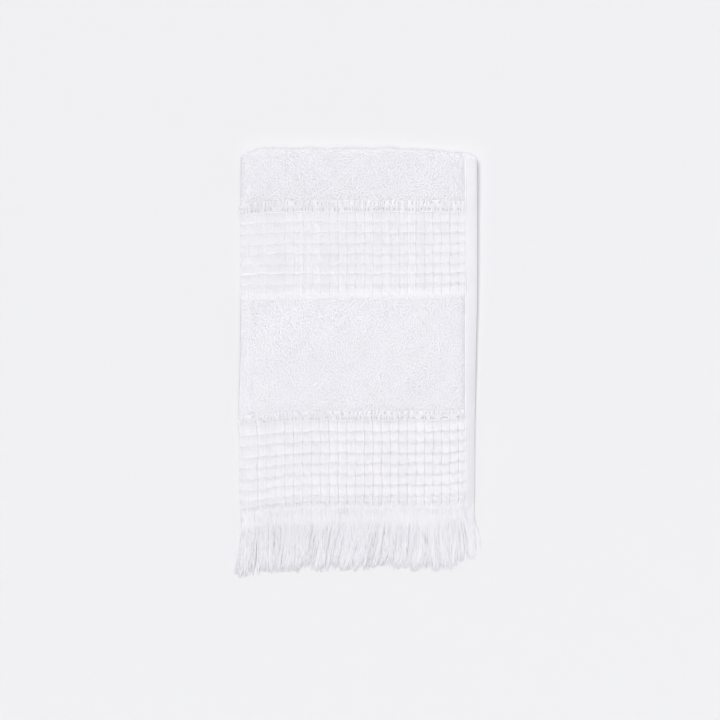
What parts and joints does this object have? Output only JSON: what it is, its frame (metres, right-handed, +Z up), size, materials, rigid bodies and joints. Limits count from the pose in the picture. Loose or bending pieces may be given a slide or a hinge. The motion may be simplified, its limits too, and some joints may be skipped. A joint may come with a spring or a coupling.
{
  "type": "hand towel",
  "caption": "White cotton hand towel with terry and waffle bands and fringed ends, folded in quarters and lying flat.",
  "frame": {"origin": "on the surface the towel lies on, under the middle of the folded towel", "axes": "+Z up from the surface, +Y towards the fold across the towel (the fringe is at -Y), +X towards the side hems (the lengthwise fold is at -X)"},
  "size_m": [0.261, 0.4565, 0.0154],
  "materials": {
    "towel_cloth": "white cotton, terry pile and waffle weave, matte",
    "fringe_yarn": "white cotton yarn, matte"
  },
  "bodies": {
    "root": {"towel_cloth": "towel_cloth", "fringe_upper_end": "fringe_yarn", "fringe_lower_end": "fringe_yarn"}
  },
  "joints": []
}
